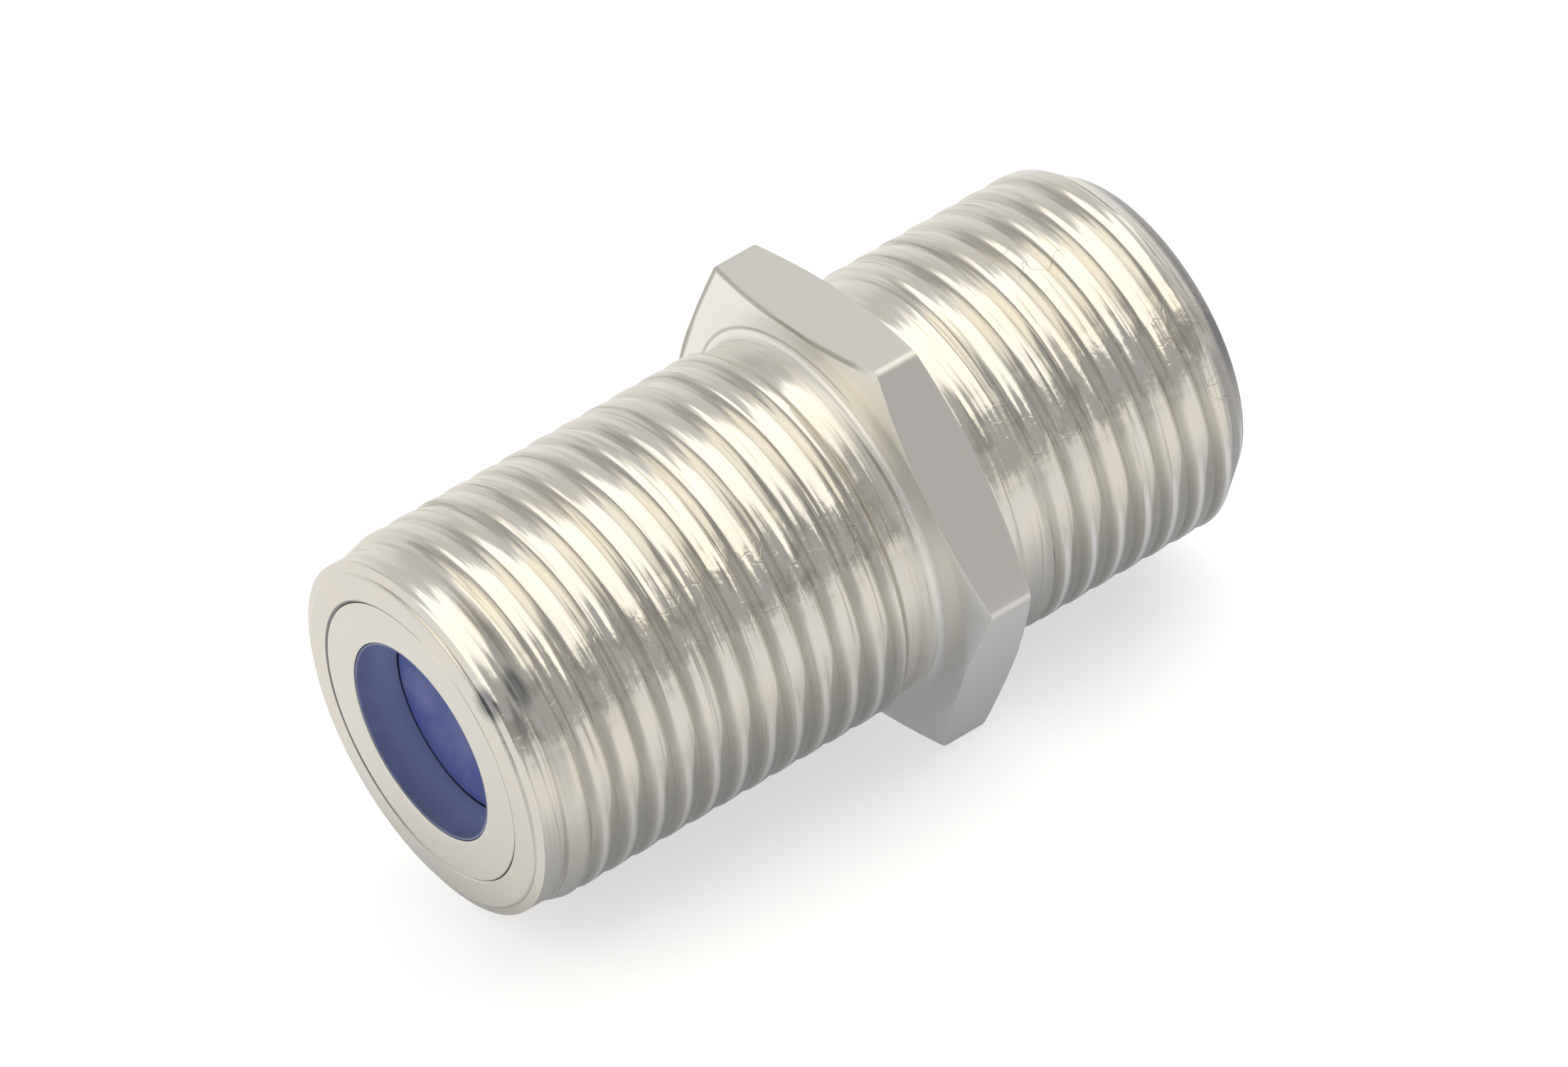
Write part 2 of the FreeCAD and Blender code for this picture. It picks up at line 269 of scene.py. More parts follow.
platedBody = dict(
    bright=(0.75, 0.705, 0.62),  # nickel over brass, clean
    clean=(0.725, 0.70, 0.645),  # its cooler patches
    stainAndShade=(0.40, 0.375, 0.32),  # what sits between the tool lines, also the colour of painted shade on the body
    flank=(0.42, 0.40, 0.345),  # painted shade on the long sides of the grooves, outside their lit part
    ridgeHighlight=(0.93, 0.92, 0.89),  # painted highlight on the crests low on the side
    face=(0.90, 0.885, 0.845),  # painted light: a lighter colour on the flange's own faces and the neck beside them
    flat=(0.72, 0.70, 0.66),  # drawn flats of the hex
    paintedLightLowFlat=(0.82, 0.80, 0.775),  # painted light: the flats low on the side are made lighter against the table's shade
    darkSpotsAndShade=(0.09, 0.09, 0.11),  # small dark spots, also the colour of painted shade on the rear rim and in the bush's seam
    scribble=(0.30, 0.28, 0.25),  # scratched lines
    roughness=0.215,
    faceRoughness=0.40,
    flatRoughness=0.42,
    # Added to the roughness where the metal is streaked, dirty, under the painted crest highlight, or drawn
    streakRoughness=0.10,
    grimeRoughness=0.15,
    ridgeRoughness=0.20,
    drawnRoughness=0.08,
    # Noises: fineness for each millimetre across the turning and round it, detail, roughness, start
    fine=(8.5, 0.30, 1.5, 0.6, 0.0),
    band=(6.5, 0.20, 1.5, 0.5, 13.0),
    broad=(2.2, 0.5, 2.0, 0.55, 5.0),
    patches=(0.7, 0.7, 2.0, 0.5, 9.0),
    grain=(7.0, 7.0, 3.0, 0.6, 0.0),
    dents=(1.5, 1.1, 3.0, 0.6, 21.0),
    drawnFineness=(0.5, 9.0, 9.0),
    drawnNoise=(3.0, 0.6),
    rubLines=(1.3, 0.020, 11.0),  # fineness, width and start of the rubbed lines
    # Values of those noises between which something shows
    patchEdges=(0.38, 0.62),
    streakEdges=(0.57, 0.67),
    streakGaps=(0.42, 0.58),
    glossEdges=(0.3, 0.7),
    blotEdges=(0.5, 0.68),
    rubEdges=(0.4, 0.55),
    spotEdges=(0.36, 0.58),
    # How strongly each kind of wear, painted light and painted shade shows, from 0 to 1
    grimeAndShade=0.45,
    beltShade=0.42,  # painted shade: more dark streaks in the belt below the key's reflection
    beltStreaks=0.04,  # and how much wider its streaks are
    blots=0.50,
    flankShade=0.10,
    lowFlankShade=0.66,  # more of it low on the side
    ridgeHighlightShare=0.60,
    rearRidgeHighlightShare=0.35,  # more of it on the rear barrel
    # painted shade along one line of each turn
    shadeLineShare=0.50,
    # painted shade on the rim of the rear end
    rearRimShade=0.72,
    seamShadow=0.80,  # painted shadow in the far side of the bush's seam
    noseFoot=0.55,  # where the nose meets the first crest
    edgeLine=0.85,  # along the upper edges of the flange
    rootShadow=0.60,  # painted shadow where the flange's face meets the neck
    neckPaintedLight=0.95,
    neckGrime=0.90,
    scribbles=0.80,
    spotBody=0.55,
    # How far the tool lines tip the surface round the barrel, and what they are mixed from
    fray=0.80,
    frayBand=0.6,
    frayFine=0.4,
    beltFray=0.75,  # more of it in the belt
    lowCalm=0.75,  # and less low on the side
    endCalm=0.94,  # and on the end faces
    comb=0.34,  # how far they tip it along the axis
    keyLine=26,  # degrees from the top to where the key light is mirrored
    spikes=0.006,  # how strongly that reflection is drawn out along the crests
    spikeBody=0.5,
    rubbed=57,  # the barrels are scuffed along this line, degrees from the top
    rubbedSpread=15,
    # Heights in millimetres
    waveHeight=0.008,
    dentHeight=0.045,
    scratchHeight=0.003,
    drawnHeight=0.0015,
    grainHeight=0.0012,
    # Where wear and painted light and shade lie: two edges ease it in, and four in and out again. First in
    # degrees from the top
    lowSide=(60, 70, 128, 150),
    belt=(34, 46, 66, 80),
    edgeTurn=(86, 104),
    ridgeHighlightSide=(90, 102, 140, 170),
    shadeLineSide=(-5, 25, 60, 80),
    secondSide=(-6, 6),
    spikeReach=(40, 22),
    rimSide=(-30, 0, 65, 100),
    seamSide=(-178, -150, -35, -12),
    footSide=(50, 64, 108, 128),
    upperSide=(30, 22),
    lowFlats=(85, 95),
    # Millimetres along the axis
    threadStart=(1.1, 1.7),
    plainMiddle=(10.2, 10.5, 14.6, 14.9),
    rearBarrel=(12, 13),
    rimAlong=(20.45, 20.7),
    seamAlong=(0.10, 0.05),
    footAlong=(0.72, 0.76, 0.79, 0.83),
    neckAlong=(10.9, 11.5, 13.3, 13.8),
    # Millimetres out from the axis, or out from the flats of the hex
    seamAway=(3.68, 3.65),
    faceAway=(4.5, 4.7),
    rootAway=(4.73, 4.77, 4.80, 4.86),
    flatsOut=(-0.03, -0.005),
    edgeOut=(-0.18, -0.10),
    # Shares of the way from one groove to the next
    litFlank=(0.10, 0.42),
    crestEdge=0.86,
    edgeShift=0.28,
    edgeFade=(-0.03, 0.05),
    shoulder=(0.30, 0.38, 0.46, 0.56),
    shadeLine=(0.19, 0.25, 0.27, 0.33),
    secondLine=(0.68, 0.76, 0.84, 0.89),
    # How far the surface faces along the axis, 0 to 1
    endFacing=(0.8, 0.97),
    flatFacing=(0.5, 0.35),
    faceFacing=(0.55, 0.95),
    # Scribbled marks: place, reach, fineness, width of the lines, and where their noise starts
    scuffs=[
        (spotOn(19.8, threadRadius, 58), 0.9, 2.6, 0.014, 1.0),
        (spotOn(20.3, threadRadius, 76), 0.8, 2.0, 0.012, 4.0),
        (spotOn(17.8, threadRadius, 12), 1.1, 1.4, 0.007, 7.0),
        (spotOn(13.5, 4.9, 64), 0.7, 3.0, 0.020, 3.0),
        (spotOn(10.0, threadRadius, 58), 1.1, 1.6, 0.008, 5.0),
    ],
    # Dark spots: place, reach, how much narrower they are along the axis, and strength
    spots=[
        (spotOn(0.12, 4.33, 50), 0.60, 2.8, 0.90),
        (spotOn(0.84, 4.56, 50), 0.75, 2.7, 0.80),
        (spotOn(0.50, 4.45, 60), 0.60, 3.0, 0.40),
    ],
)


class Plating:
    # Nickel plate over turned brass, while its wear, painted light and painted shade are added to it
    def __init__(self, shade, look):
        self.look = look
        spot = self.spot = Spot(shade)
        self.fine = spot.noise(*look["fine"])
        self.band = spot.noise(*look["band"])
        self.broad = spot.noise(*look["broad"])
        self.turned = 1 - spot.facing.ease(look["endFacing"]) * look["endCalm"]
        self.low = spot.degrees.ease(look["lowSide"])
        self.belt = spot.degrees.ease(look["belt"])

        patches = spot.noise(*look["patches"])
        self.colour = patches.ease(look["patchEdges"]).tint(look["bright"], look["clean"])
        # Grime in the tool lines, with painted shade added to it in the belt below the key's reflection
        streaks = (self.fine + self.belt * look["beltStreaks"]).ease(look["streakEdges"])
        streaks *= self.band.ease(look["streakGaps"])
        self.grimeAndShade = streaks * (look["grimeAndShade"] + self.belt * look["beltShade"]) * self.turned
        self.paint(self.grimeAndShade, "stainAndShade")
        gloss = self.fine * look["streakRoughness"] * self.broad.ease(look["glossEdges"])
        self.roughness = look["roughness"] + gloss + self.grimeAndShade * look["grimeRoughness"]
        self.height = patches * look["waveHeight"]

        lines = self.band * look["frayBand"] + self.fine * look["frayFine"] - noiseMiddle
        steady = self.turned * (1 - self.low * look["lowCalm"])
        self.fray = lines * steady * look["fray"] * (1 + self.belt * look["beltFray"])

    def paint(self, share, name):
        self.colour = share.tint(self.colour, self.look[name])

    def rubSide(self):
        # The scuffed line along both barrels
        look, spot = self.look, self.spot
        rubbed = spot.towards(look["rubbed"], look["rubbedSpread"]) * self.turned
        dents = spot.noise(*look["dents"])
        self.paint(rubbed * dents.ease(look["blotEdges"]) * look["blots"], "stainAndShade")
        rubs = curls(spot, *look["rubLines"]) * rubbed * self.broad.ease(look["rubEdges"])
        self.height += (dents * look["dentHeight"] - rubs * look["scratchHeight"]) * rubbed

    def threadLightAndShade(self, split):
        look, spot = self.look, self.spot
        phase = spot.phase(split)
        plain = spot.along.ease(look["plainMiddle"])
        threaded = spot.along.ease(look["threadStart"]) * (1 - plain) * self.turned
        edge = look["crestEdge"] - spot.degrees.ease(look["edgeTurn"]) * look["edgeShift"]
        lit = phase.ease(look["litFlank"]) * (edge - phase).ease(look["edgeFade"])
        # Painted shade: the unlit part of each turn is darkened, more so low on the side
        paintedShade = (1 - lit) * threaded * (look["flankShade"] + self.low * look["lowFlankShade"])
        self.paint(paintedShade, "flank")

        # Painted highlight: a light band along each crest low on the side, stronger on the rear barrel
        shoulder = phase.ease(look["shoulder"])
        ridgeHighlight = shoulder * spot.degrees.ease(look["ridgeHighlightSide"]) * threaded
        more = spot.along.ease(look["rearBarrel"]) * look["rearRidgeHighlightShare"]
        self.paint(ridgeHighlight * (look["ridgeHighlightShare"] + more), "ridgeHighlight")
        self.roughness += ridgeHighlight * look["ridgeRoughness"]
        # Painted shade: a dark line along each turn, carrying on the dark line the flank mirrors
        line = phase.ease(look["shadeLine"]) * spot.degrees.ease(look["shadeLineSide"]) * threaded
        self.paint(line * look["shadeLineShare"], "stainAndShade")

        # The key's reflection reaches further along two lines of each crest
        apart = spot.degrees - look["keyLine"]
        second = phase.ease(look["secondLine"]) * apart.ease(look["secondSide"])
        spikes = shoulder.most(second) * threaded * (look["spikeBody"] + self.broad)
        spikes *= abs(apart).ease(look["spikeReach"])
        self.fray -= apart * spikes * look["spikes"]

    def darkenEnds(self):
        # Painted shade on the rear end's rim and in the far side of the bush's seam; darker at the nose's
        # foot
        look, spot = self.look, self.spot
        rim = spot.along.ease(look["rimAlong"]) * spot.degrees.ease(look["rimSide"])
        self.paint(rim * self.turned * look["rearRimShade"], "darkSpotsAndShade")
        seam = spot.away.ease(look["seamAway"]) * spot.along.ease(look["seamAlong"])
        self.paint(seam * spot.degrees.ease(look["seamSide"]) * look["seamShadow"], "darkSpotsAndShade")
        foot = spot.along.ease(look["footAlong"]) * spot.degrees.ease(look["footSide"])
        self.paint(foot * look["noseFoot"], "stainAndShade")

    def finishFlange(self):
        look, spot = self.look, self.spot
        face = spot.facing.ease(look["faceFacing"]) * spot.away.ease(look["faceAway"])
        neck = spot.along.ease(look["neckAlong"])
        # Painted light: the flange's faces and the neck take the lighter face colour
        self.paint(face, "face")
        self.paint(neck * (look["neckPaintedLight"] - self.grimeAndShade * look["neckGrime"]), "face")
        self.roughness += neck * (look["faceRoughness"] - self.roughness)
        # Painted shadow in the crease at the neck, and a dark line along the flange's upper edges
        edgeLine = (spot.across - flatRadius).ease(look["edgeOut"]) * look["edgeLine"]
        rootShadow = spot.away.ease(look["rootAway"]) * look["rootShadow"]
        upper = spot.degrees.ease(look["upperSide"]) * face
        self.paint(upper * edgeLine.most(rootShadow), "stainAndShade")

        flats = (spot.away - flatRadius).ease(look["flatsOut"]) * spot.facing.ease(look["flatFacing"])
        stretched = spot.shade.vector("MULTIPLY", {0: spot.point, 1: look["drawnFineness"]})
        drawn = spot.shade.cloud(stretched, *look["drawnNoise"])
        # Painted light on the flats low on the side
        drawnColour = spot.degrees.ease(look["lowFlats"]).tint(look["flat"], look["paintedLightLowFlat"])
        self.colour = flats.tint(self.colour, drawnColour)
        drawnGloss = look["flatRoughness"] + drawn * look["drawnRoughness"]
        self.roughness += flats * (drawnGloss - self.roughness)
        lines = drawn * look["drawnHeight"] + spot.noise(*look["grain"]) * look["grainHeight"]
        self.height = self.height * (1 - flats) + flats * lines
        self.turned *= 1 - flats
        self.fray *= 1 - flats

    def addMarks(self):
        look, spot = self.look, self.spot
        for centre, reach, fineness, width, start in look["scuffs"]:
            marks = curls(spot, fineness, width, start) * spot.near(centre, reach)
            self.paint(marks * look["scribbles"], "scribble")
            self.roughness += marks * look["grimeRoughness"]
            self.height -= marks * look["scratchHeight"]
        for centre, reach, narrow, strength in look["spots"]:
            streaky = look["spotBody"] + self.fine.ease(look["spotEdges"]) * (1 - look["spotBody"])
            self.paint(spot.near(centre, reach, narrow) * streaky * strength, "darkSpotsAndShade")


def platedFinish(name, look, split=None):
    # Only the body has threads and a flange, and gives the place that splits its two barrels
    material, shade = newFinish(name)
    plating = Plating(shade, look)
    plating.rubSide()
    if split is not None:
        plating.threadLightAndShade(split)
        plating.darkenEnds()
        plating.finishFlange()
    plating.addMarks()
    combed = (plating.fine - noiseMiddle) * plating.turned * look["comb"]
    bump = shade.node("ShaderNodeBump", {}, {
        "Height": plating.height, "Strength": 1.0, "Distance": mm,
        "Normal": plating.spot.tipped(plating.fray, combed)})
    showSurface(shade, shade.node("ShaderNodeBsdfPrincipled", {}, {
        "Base Color": plating.colour, "Roughness": plating.roughness, "Metallic": 1.0, "Normal": bump}))
    return material


outside = dict(
    steps=192,  # round the axis, a multiple of twelve
    boreRadius=3.60,
    mouthRadius=2.55,
    endWall=1.2,
    noseDrop=0.42,
    noseLength=1.35,
    noseRounding=0.12,
    noseSteps=8,
    neckDrop=0.175,
    neckStart=10.6,
    flangeFront=11.6,
    flangeRear=13.25,
    rootFillet=0.2,
    filletSteps=6,
    chamferStart=0.02,  # the chamfer cone runs this far below the flats
    chamferAngle=17,
    cornerRounding=0.26,
    edgeRounding=0.045,
    edgeShare=0.6,  # of the cone's width, where that is narrower than the rounding
    collarEnd=14.65,
    rearChamfer=20.0,
    rearDrop=0.75,
    rearBevel=0.12,
    mouthBevel=0.06,
    seamBevel=0.028,
    # The thread: where it may be cut, where it runs in and out, and its section
    frontThread=dict(start=0.5, end=10.425, groove=grooves[0], open=(0.3, 0.6), close=(10.2, 10.55)),
    rearThread=dict(start=14.7, end=20.45, groove=grooves[1], open=(14.7, 14.95), close=(30, 31)),
    threadDepth=0.185,
    flankEase=1.45,
    frontFlank=0.31,  # lengths of the two sides of a groove along the axis
    rearFlank=0.06,
    crestFall=0.045,  # how far a crest falls from its front to its rear
    crestRounding=0.015,
    wander=0.008,  # how uneven the thread is, out from the axis
    wanderFineness=(1.9, 2.1),  # along the axis and round it
    drift=0.025,  # how uneven it is along the axis
    driftFineness=2.3,
    # How softly two surfaces meet
    creaseBlend=0.03,
    rearBlend=0.02,
    threadBlend=0.025,
    # Rings and strands of the mesh: along the axis, beside an edge, or in degrees from a corner
    noseRings=(0.16, 0.24, 0.34, 0.44),
    neckRings=(-0.14, -0.10, -0.06, -0.02, 0.02, 0.06, 0.2, 0.4, 0.58),
    collarRings=(14.58, 14.62, 14.66),
    rearRings=(20.5, 20.6, 20.72, 20.84),
    boreRings=(14.0, 7.0, 0.3),
    flatRings=(0.4, 0.5, 0.6),
    seatRing=0.2,
    rearFaceRing=3.3,
    wallRing=3.1,
    edgeRing=0.04,
    faceRing=0.05,
    coneRing=(0.004, 0.03),
    coneMiddle=(0.12, 0.22),
    rimMiddle=(0.45, 0.8),
    rimEase=(0.004, 0.002),
    mouthMiddle=0.02,
    cornerSteps=(0.0, 0.3, 0.6, 0.9, 1.2, 1.5),
    flankStrands=(0, 0.16, 0.32, 0.48, 0.64, 0.78, 0.9, 1.02),
    crestStrands=(0.3, 0.6, 0.85),
    edgeStrands=(-0.008, 0.004, 0.014, 0.035),
    strandGap=0.011,
    # Tool lines turned into the collar: behind its fillet, and how deep
    toolLines=((0.03, 0), (0.07, 0.015), (0.10, 0.025), (0.13, 0.015), (0.17, 0), (0.24, 0),
               (0.27, 0.01), (0.30, 0), (0.5, 0), (0.7, 0), (0.9, 0), (1.0, 0)),
)


def threadDip(behind, sizes):
    # How deep the thread is at a distance behind the bottom of a groove: a long side eased into
    # the crest, the crest falling a little, and a short steep side down to the next groove
    left = max(0.0, 1 - behind / sizes["frontFlank"]) ** sizes["flankEase"]
    crest = pitch - sizes["frontFlank"] - sizes["rearFlank"]
    fall = sizes["crestFall"] * max(0.0, (behind - sizes["frontFlank"]) / crest) ** 2
    eased = sizes["threadDepth"] * left + fall
    steep = sizes["threadDepth"] * (1 - (pitch - behind) / sizes["rearFlank"])
    return -softLower(-eased, -steep, sizes["crestRounding"])


def envelope(along, sizes):
    # Radius of the plain turned blank under the thread
    drop, crease = sizes["neckDrop"], sizes["creaseBlend"]
    neck = threadRadius - drop
    if along < sizes["flangeFront"]:
        nose = threadRadius - sizes["noseDrop"] * (1 - along / sizes["noseLength"])
        blank = softLower(nose, threadRadius, crease)
        relief = threadRadius - (along - sizes["neckStart"] + drop)
        return max(softLower(blank, relief, crease), neck)
    chamfer = threadRadius - sizes["rearDrop"] * (along - sizes["rearChamfer"])
    blank = softLower(threadRadius, chamfer, sizes["rearBlend"])
    relief = threadRadius - (sizes["collarEnd"] + drop - along)
    return max(softLower(blank, relief, crease), min(neck, chamfer))


def grooveAt(lap, turn, zone, sizes):
    # Where the bottom of one groove lies at one angle; the turns are a little uneven
    count = lap + turn
    uneven = noise.noise(Vector((count * sizes["driftFineness"], 0.5, 0.5)))
    return zone["groove"] + pitch * count + sizes["drift"] * uneven


def threadedRadius(along, turn, zone, sizes):
    lap = math.floor((along - zone["groove"]) / pitch - turn)
    if along < grooveAt(lap, turn, zone, sizes):
        lap -= 1
    elif along >= grooveAt(lap + 1, turn, zone, sizes):
        lap += 1
    start, following = grooveAt(lap, turn, zone, sizes), grooveAt(lap + 1, turn, zone, sizes)
    behind = pitch * (along - start) / (following - start)
    depth = ramp(along, *zone["open"]) * (1 - ramp(along, *zone["close"]))
    angle = 2 * math.pi * turn
    lengthways, around = sizes["wanderFineness"]
    spot = Vector((along * lengthways, around * math.cos(angle), around * math.sin(angle)))
    uneven = sizes["wander"] * noise.noise(spot) * depth
    cut = threadRadius - threadDip(behind, sizes) * depth + uneven
    return softLower(cut, envelope(along, sizes), sizes["threadBlend"])


def strandOffsets(sizes):
    # Where the lines of the mesh that follow the thread lie in one turn, from the bottom of the groove
    flank = sizes["frontFlank"]
    edge = pitch - sizes["rearFlank"]
    offsets = [flank * share for share in sizes["flankStrands"]]
    offsets += [flank + (edge - flank) * share for share in sizes["crestStrands"]]
    return offsets + [edge + shift for shift in sizes["edgeStrands"]]


def threadColumn(step, zone, sizes, breaks):
    # One line along the thread: its plain rings, and the strands of the helix between them
    turn = step / sizes["steps"]
    offsets = strandOffsets(sizes)
    column = [(along, ("ring", zone["start"], number)) for number, along in enumerate(breaks)]
    first = int((zone["start"] - zone["groove"]) / pitch - turn) - 2
    last = int((zone["end"] - zone["groove"]) / pitch - turn) + 2
    for lap in range(first, last + 1):
        start, following = grooveAt(lap, turn, zone, sizes), grooveAt(lap + 1, turn, zone, sizes)
        for number, offset in enumerate(offsets):
            along = start + (following - start) * offset / pitch
            gap = min(abs(along - plain) for plain in breaks)
            if breaks[0] < along < breaks[-1] and gap > sizes["strandGap"]:
                column.append((along, ("strand", lap, number)))
    column.sort()
    return [(key, along, threadedRadius(along, turn, zone, sizes), turn) for along, key in column]


def hexTurns(sizes):
    # Angles of the flange's own columns, closer together at the rounded corners
    perSide = sizes["steps"] // 6
    close = sizes["cornerSteps"]
    spread = (60 - 2 * close[-1]) / (perSide - 2 * (len(close) - 1))
    inSide = list(close)
    while len(inSide) < perSide - len(close) + 2:
        inSide.append(inSide[-1] + spread)
    inSide += [60 - value for value in reversed(close[1:-1])]
    turns = []
    for step in range(sizes["steps"]):
        side, number = divmod(step - perSide // 2, perSide)
        turns.append((30 + 60 * side + inSide[number]) / 360)
    return turns


def hexRadius(turn, sizes):
    # Outline of the hex with rounded corners, flats level at the top and the bottom
    away = math.radians(abs((turn * 360 + 30) % 60 - 30))
    rounding = sizes["cornerRounding"]
    slant = math.radians(30)
    if math.tan(away) * flatRadius <= (flatRadius - rounding) * math.tan(slant):
        return flatRadius / math.cos(away)
    centre = (flatRadius - rounding) / math.cos(slant)
    across = slant - away
    return centre * math.cos(across) + math.sqrt(rounding ** 2 - (centre * math.sin(across)) ** 2)


def flangeColumn(step, hexTurn, sizes):
    # From the front fillet over the flange to the rear fillet
    turn, steps = step / sizes["steps"], sizes["filletSteps"]
    hexTurn += round(turn - hexTurn)
    fillet = sizes["rootFillet"]
    foot = threadRadius - sizes["neckDrop"] + fillet
    front, rear = sizes["flangeFront"], sizes["flangeRear"]
    start = flatRadius - sizes["chamferStart"]
    slant = math.radians(sizes["chamferAngle"])
    outline = hexRadius(hexTurn, sizes)
    width = (outline - start) / math.cos(slant)
    edge = min(sizes["edgeRounding"], width * sizes["edgeShare"])
    top = front + (outline - start) * math.tan(slant)
    startAlong, startAway = sizes["coneRing"]
    middleAlong, middleAway = sizes["coneMiddle"]

    side = [(along, away, turn) for along, away in arc((front - fillet, foot), fillet, -90, 0, steps)]
    side += [
        (front, foot + sizes["faceRing"], turn),
        (front, (foot + start) / 2, (turn + hexTurn) / 2),
        (front, start - startAway, hexTurn),
        (front + startAlong, start, hexTurn),
        (top - edge * math.sin(slant), outline - edge * math.cos(slant), hexTurn),
        (top + edge * middleAlong, outline - edge * middleAway, hexTurn),
        (top + edge, outline, hexTurn),
        (top + edge + sizes["faceRing"], outline, hexTurn),
    ]
    middle = [(front + (rear - front) * share, outline, hexTurn) for share in sizes["flatRings"]]
    mirrored = [(front + rear - along, away, at) for along, away, at in reversed(side)]
    rings = side + middle + mirrored
    return [(("flange", number), along, away, at) for number, (along, away, at) in enumerate(rings)]


def plainRings(name, profile, turn):
    return [((name, number), along, away, turn) for number, (along, away) in enumerate(profile)]


def blankRings(places, sizes):
    return [(along, envelope(along, sizes)) for along in places]


def noseProfile(sizes):
    # From the bush's seam over the front face to the first thread, as (along, away)
    bore, bevel, rounding = sizes["boreRadius"], sizes["seamBevel"], sizes["noseRounding"]
    slant = math.atan2(sizes["noseDrop"], sizes["noseLength"])
    away = threadRadius - sizes["noseDrop"] - rounding * math.tan((math.pi / 2 - slant) / 2)
    rings = [(bevel * 2, bore), (bevel, bore), (0, bore + bevel), (0, bore + 2 * bevel),
             (0, bore + sizes["seatRing"])]
    rings += arc((rounding, away), rounding, 180, 90 + math.degrees(slant), sizes["noseSteps"])
    return rings + blankRings(sizes["noseRings"], sizes)


def collarProfile(sizes):
    start = sizes["flangeRear"] + sizes["rootFillet"]
    collar = threadRadius - sizes["neckDrop"]
    rings = [(start + behind, collar - depth) for behind, depth in sizes["toolLines"]]
    return rings + blankRings(sizes["collarRings"], sizes)


def rearProfile(sizes):
    # From the last thread over the rear end and its mouth, back through the bore
    cut, ring, bevel = sizes["rearBevel"], sizes["edgeRing"], sizes["mouthBevel"]
    mouth, bore, middle = sizes["mouthRadius"], sizes["boreRadius"], sizes["mouthMiddle"]
    edge = threadRadius - sizes["rearDrop"]
    rim = edge - cut * sizes["rimMiddle"][1]
    inner = fullLength - sizes["endWall"]
    rings = blankRings(sizes["rearRings"], sizes)
    rings += [
        (fullLength - cut, edge + cut * sizes["rearDrop"] - sizes["rimEase"][0]),
        (fullLength - cut * sizes["rimMiddle"][0], edge - sizes["rimEase"][1]),
        (fullLength, rim), (fullLength, rim - ring), (fullLength, sizes["rearFaceRing"]),
        (fullLength, mouth + bevel + ring), (fullLength, mouth + bevel),
        (fullLength - middle, mouth + middle), (fullLength - bevel, mouth),
        (fullLength - bevel - ring, mouth), (fullLength - sizes["endWall"] / 2, mouth),
        (inner + ring, mouth), (inner, mouth), (inner, mouth + ring), (inner, sizes["wallRing"]),
        (inner, bore - ring), (inner, bore), (inner - ring, bore),
    ]
    return rings + [(along, bore) for along in sizes["boreRings"]]


def keyAcross(key, wraps):
    # Past the last column, a strand goes on as the next lap of the first column
    return ("strand", key[1] + 1, key[2]) if wraps and key[0] == "strand" else key


def zipColumns(faces, left, right, wraps):
    # Joins two lines of points that share most of their keys, with triangles where one has a point more
    leftKeys = {keyAcross(key, wraps): number for number, (key, _, _) in enumerate(left)}
    rightKeys = {key: number for number, (key, _, _) in enumerate(right)}
    atLeft, atRight = 0, 0
    while atLeft < len(left) - 1 or atRight < len(right) - 1:
        nextLeft = keyAcross(left[atLeft + 1][0], wraps) if atLeft + 1 < len(left) else None
        nextRight = right[atRight + 1][0] if atRight + 1 < len(right) else None
        here, there = left[atLeft][1], right[atRight][1]
        if nextLeft is not None and nextLeft == nextRight:
            faces.append((here, there, right[atRight + 1][1], left[atLeft + 1][1]))
            atLeft += 1
            atRight += 1
            continue
        leftAlone = nextLeft is not None and rightKeys.get(nextLeft, -1) <= atRight
        rightAlone = nextRight is not None and leftKeys.get(nextRight, -1) <= atLeft
        if leftAlone == rightAlone and nextRight is not None:
            leftAlone = nextLeft is not None and left[atLeft + 1][2] < right[atRight + 1][2]
        elif leftAlone == rightAlone:
            leftAlone = True
        if leftAlone:
            faces.append((here, there, left[atLeft + 1][1]))
            atLeft += 1
        else:
            faces.append((here, there, right[atRight + 1][1]))
            atRight += 1


def bodyColumn(step, hexTurn, profiles, sizes):
    # One line from the bush's seam over the outside and back through the bore
    nose, neck, collar, rear = profiles
    front, back = sizes["frontThread"], sizes["rearThread"]
    turn = step / sizes["steps"]
    column = plainRings("nose", nose, turn)
    column += threadColumn(step, front, sizes, [front["start"], sizes["noseLength"], front["end"]])
    column += plainRings("neck", neck, turn)
    column += flangeColumn(step, hexTurn, sizes)
    column += plainRings("collar", collar, turn)
    column += threadColumn(step, back, sizes, [back["start"], sizes["rearChamfer"], back["end"]])
    return column + plainRings("rear", rear, turn)


def makeShell(sizes, material):
    neck = [sizes["neckStart"] + shift for shift in sizes["neckRings"]]
    profiles = noseProfile(sizes), blankRings(neck, sizes), collarProfile(sizes), rearProfile(sizes)
    steps = sizes["steps"]
    hexTurn = hexTurns(sizes)
    points, columns, faces = [], [], []
    for step in range(steps):
        line = []
        for order, (key, along, away, at) in enumerate(bodyColumn(step, hexTurn[step], profiles, sizes)):
            onThread = key[0] in ("strand", "ring")
            line.append((key, len(points), along if onThread else order))
            points.append(place(along, away, at))
        line.append((("close", 0), line[0][1], len(line)))
        columns.append(line)
    for step in range(steps):
        zipColumns(faces, columns[step], columns[(step + 1) % steps], step == steps - 1)
    return meshPiece("plated_body", points, faces, material)


flangeMiddle = (outside["flangeFront"] + outside["flangeRear"]) / 2
bodyFinish = platedFinish("nickel_on_turned_brass", platedBody, flangeMiddle)
shell = makeShell(outside, bodyFinish)
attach(shell, "root")
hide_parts("body")
print("body made:", len(shell.data.polygons), "faces")


